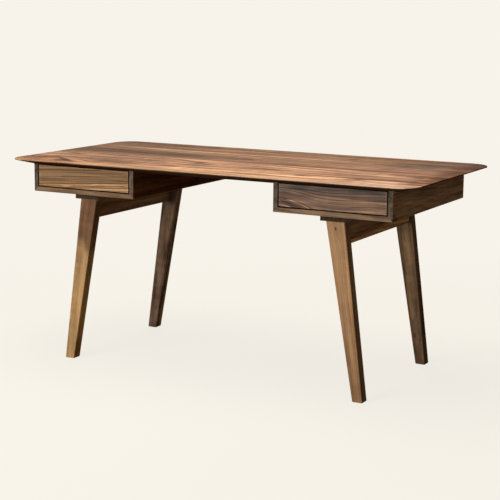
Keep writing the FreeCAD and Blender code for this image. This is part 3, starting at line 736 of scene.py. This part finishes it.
legPlain = {"heart": (0.0, -0.11, -0.05), "lines": 0.35, "streaks": 1.8, "flame": 1.7}

legLean = math.atan2(legShape["splay"], legShape["height"])
for corner, change in legLooks.items():
    node = corner + "_leg"
    lean = -legLean if corner.startswith("right") else legLean
    turn = (0.0, math.pi / 2 + lean, 0.0)
    dress(node, makeBoardMaterial(node, middleOf(node), turn, {**walnutLook, **legPlain, **change}))
print("dressed the leg frames")

boxLook = {
    **walnutLook,
    "dark": (0.34, 0.22, 0.12),
    "middle": (0.6, 0.45, 0.28),
    "light": (0.7, 0.56, 0.38),
    "cast": (0.58, 0.43, 0.28),
    "lines": 0.2,
    "streaks": 0.6,
    "flame": 0.4,
    "pores": 0.2,
    "ring": 0.003,
    "curl": 0.12,
    "specular": 0.2,
    "seed": 40.0,
}
boxBoards = {"drawer_inboard_side": alongY, "drawer_outboard_side": alongY, "drawer_back": alongX,
             "drawer_bottom": alongX}

for hand, handSeed in handSeeds.items():
    for number, (kind, turn) in enumerate(boxBoards.items()):
        node = hand + "_" + kind
        look = {**boxLook, "seed": handSeed + boxLook["seed"] + number * seedSteps["boxes"]}
        dress(node, makeBoardMaterial(node, middleOf(node), turn, look))

tenonLook = {
    **boxLook,
    "dark": (0.36, 0.21, 0.11),
    "middle": (0.58, 0.38, 0.22),
    "light": (0.66, 0.46, 0.29),
    "seed": 61.0,
}

for number, node in enumerate(("casing_splines", "leg_tenons", "rail_tenons")):
    look = {**tenonLook, "seed": tenonLook["seed"] + number * seedSteps["tenons"]}
    dress(node, makeBoardMaterial(node, (0.0, 0.0, 0.0), alongX, look))
print("dressed the drawers and tenons")


# Metal: plated slide sheet, plain cages, ground rollers and blackened screws

metalLooks = {
    "slide": {"name": "slide_plated", "colour": (0.43, 0.44, 0.45), "second": (0.48, 0.48, 0.47),
              "roughness": 0.34, "spread": 0.10, "grain": (6.0, 320.0, 320.0), "blotch": 45.0},
    "cage": {"name": "cage_plain", "colour": (0.42, 0.42, 0.43), "second": (0.5, 0.49, 0.47),
             "roughness": 0.42, "spread": 0.14, "grain": (9.0, 260.0, 260.0), "blotch": 60.0},
    "roller": {"name": "roller_ground", "colour": (0.7, 0.7, 0.71), "second": (0.76, 0.76, 0.77),
               "roughness": 0.16, "spread": 0.08, "grain": (300.0, 300.0, 900.0), "blotch": 200.0},
    "screw": {"name": "screw_black", "colour": (0.03, 0.03, 0.032), "second": (0.055, 0.05, 0.045),
              "roughness": 0.45, "spread": 0.15, "grain": (900.0, 900.0, 120.0), "blotch": 300.0,
              "metallic": 0.7},
}
metalFinish = {"metallic": 1.0, "blotchNoise": (3.0, 0.6), "blotchFade": (0.35, 0.65),
               "brushNoise": (2.0, 0.6), "bump": 0.12, "bumpDepth": 0.0002}


def makeMetalMaterial(look):
    material, tree = freshTree(look["name"])
    board = boardPlace(tree, (0.0, 0.0, 0.0), alongY)[0]
    blotch = grainLayer(tree, board, (look["blotch"],) * 3, *look["blotchNoise"])
    brush = grainLayer(tree, board, look["grain"], *look["brushNoise"])
    roughness = calc(tree, "MULTIPLY_ADD", centred(tree, brush), look["spread"] * 2, look["roughness"])
    roughness = calc(tree, "MULTIPLY_ADD", centred(tree, blotch), look["spread"], roughness)
    feeds = {"Strength": look["bump"], "Distance": look["bumpDepth"], "Height": brush}
    shader = addNode(tree, "BsdfPrincipled", {
        "Base Color": blendColour(tree, remap(tree, blotch, *look["blotchFade"]), opaque(look["colour"]),
                                  opaque(look["second"])),
        "Roughness": roughness,
        "Normal": addNode(tree, "Bump", feeds).outputs["Normal"],
        "Metallic": look["metallic"],
    })
    addNode(tree, "OutputMaterial", {"Surface": shader.outputs[0]})
    return material


metals = {part: makeMetalMaterial({**metalFinish, **look}) for part, look in metalLooks.items()}
slideParts = {"channel": "slide", "runner": "slide", "cage": "cage", "rollers": "roller"}

for hand in handSeeds:
    for side in ("inboard", "outboard"):
        for part, metal in slideParts.items():
            dress(hand + "_" + side + "_slide_" + part, metals[metal])
dress("bearer_screws", metals["screw"])
print("dressed the slides and screws")


# The floor, the light and the camera

roomLook = {
    "backdrop": (0.930, 0.896, 0.823),
    "floorReach": 30.0,
    "floorTones": ((0.9, 0.87, 0.8), (0.94, 0.91, 0.84)),
    "floorSpeck": (220.0, 220.0, 1.0),
    "floorShadow": 0.12,      # how much of the floor's look is real light, the rest is its even colour
    "floorBounce": 0.25,
    "fade": (0.9, 2.6),       # how far from the middle the real light gives way, metres
    "fill": 0.135,
    "fillColour": (1.0, 0.98, 0.95),
}


def seenDirectly(tree):
    path = addNode(tree, "LightPath").outputs
    glossy = calc(tree, "MAXIMUM", path["Is Camera Ray"], path["Is Glossy Ray"])
    return calc(tree, "MAXIMUM", glossy, path["Is Transmission Ray"])


def makeRoom(look):
    mesh = bpy.data.meshes.new("floor")
    shape = bmesh.new()
    bmesh.ops.create_grid(shape, x_segments=1, y_segments=1, size=look["floorReach"])
    shape.to_mesh(mesh)
    shape.free()
    floor = bpy.data.objects.new("floor", mesh)
    bpy.context.scene.collection.objects.link(floor)
    material, tree = freshTree("pale_floor")
    spot = addNode(tree, "TexCoord").outputs["Object"]
    lit = remap(tree, lengthOf(tree, spot), *look["fade"], look["floorShadow"], 0.0)
    speck = grainLayer(tree, spot, look["floorSpeck"])
    plain = blendColour(tree, speck, *(opaque(tone) for tone in look["floorTones"]))
    diffuse = addNode(tree, "BsdfDiffuse", {"Color": plain})
    glow = addNode(tree, "Emission", {"Color": opaque(look["backdrop"]), "Strength": 1.0})
    seen = addNode(tree, "MixShader", {0: lit, 1: glow.outputs[0], 2: diffuse.outputs[0]})
    bounce = addNode(tree, "BsdfDiffuse", {"Color": opaque([look["floorBounce"]] * 3)})
    both = addNode(tree, "MixShader", {0: seenDirectly(tree), 1: bounce.outputs[0], 2: seen.outputs[0]})
    addNode(tree, "OutputMaterial", {"Surface": both.outputs[0]})
    mesh.materials.append(material)

    world = bpy.data.worlds.new("studio")
    bpy.context.scene.world = world
    world.use_nodes = True
    tree = world.node_tree
    tree.nodes.clear()
    even = addNode(tree, "Background", {"Color": opaque(look["backdrop"]), "Strength": 1.0})
    fill = addNode(tree, "Background", {"Color": opaque(look["fillColour"]), "Strength": look["fill"]})
    both = addNode(tree, "MixShader", {0: seenDirectly(tree), 1: fill.outputs[0], 2: even.outputs[0]})
    addNode(tree, "OutputWorld", {"Surface": both.outputs[0]})


makeRoom(roomLook)

lampLooks = {
    "window": {"place": (-1.5, -4.3, 1.25), "size": (2.6, 1.7), "power": 175.0, "colour": (1.0, 0.97, 0.93)},
    "overhead": {"place": (-0.3, -0.2, 3.1), "size": (2.6, 1.6), "power": 72.0, "colour": (1.0, 0.96, 0.9)},
    "behind": {"place": (-2.6, 3.8, 1.0), "size": (2.4, 1.2), "power": 105.0, "colour": (1.0, 0.97, 0.93),
               "glossy": False},    # a soft fill for the back, which leaves no sheen on the top
}
lampAim = (0.0, 0.0, 0.6)    # just under the top


def makeLamp(name, look):
    data = bpy.data.lights.new(name, "AREA")
    data.shape = "RECTANGLE"
    data.size, data.size_y = look["size"]
    data.energy = look["power"]
    data.color = look["colour"]
    lamp = bpy.data.objects.new(name, data)
    bpy.context.scene.collection.objects.link(lamp)
    toDesk = Vector(lampAim) - Vector(look["place"])
    lamp.location = look["place"]
    lamp.visible_glossy = look.get("glossy", True)
    lamp.rotation_euler = toDesk.to_track_quat("-Z", "Y").to_euler()


for name, look in lampLooks.items():
    makeLamp(name, look)

cameraLook = {
    "place": (2.371562, -4.407061, 1.323041),
    "yaw": 28.1827,
    "pitch": -10.2249,
    "roll": 0.5526,
    "focal": 1370.579,    # in pixels of a picture 500 wide
    "picture": 500.0,
    "sensor": 36.0,
}


def makeCamera(look):
    data = bpy.data.cameras.new("camera")
    data.sensor_width = look["sensor"]
    data.lens = look["focal"] * look["sensor"] / look["picture"]
    camera = bpy.data.objects.new("camera", data)
    bpy.context.scene.collection.objects.link(camera)
    yaw, pitch, roll = (math.radians(look[key]) for key in ("yaw", "pitch", "roll"))
    ahead = Vector((-math.sin(yaw) * math.cos(pitch), math.cos(yaw) * math.cos(pitch), math.sin(pitch)))
    right = Vector((math.cos(yaw), math.sin(yaw), 0.0))
    above = right.cross(ahead)
    rolledRight = right * math.cos(roll) + above * math.sin(roll)
    rolledUp = above * math.cos(roll) - right * math.sin(roll)
    turn = Matrix((rolledRight, rolledUp, -ahead)).transposed().to_4x4()
    camera.matrix_world = Matrix.Translation(look["place"]) @ turn
    bpy.context.scene.camera = camera


makeCamera(cameraLook)
bpy.context.scene.view_settings.view_transform = "Standard"
print("set the floor, the lamps and the camera")
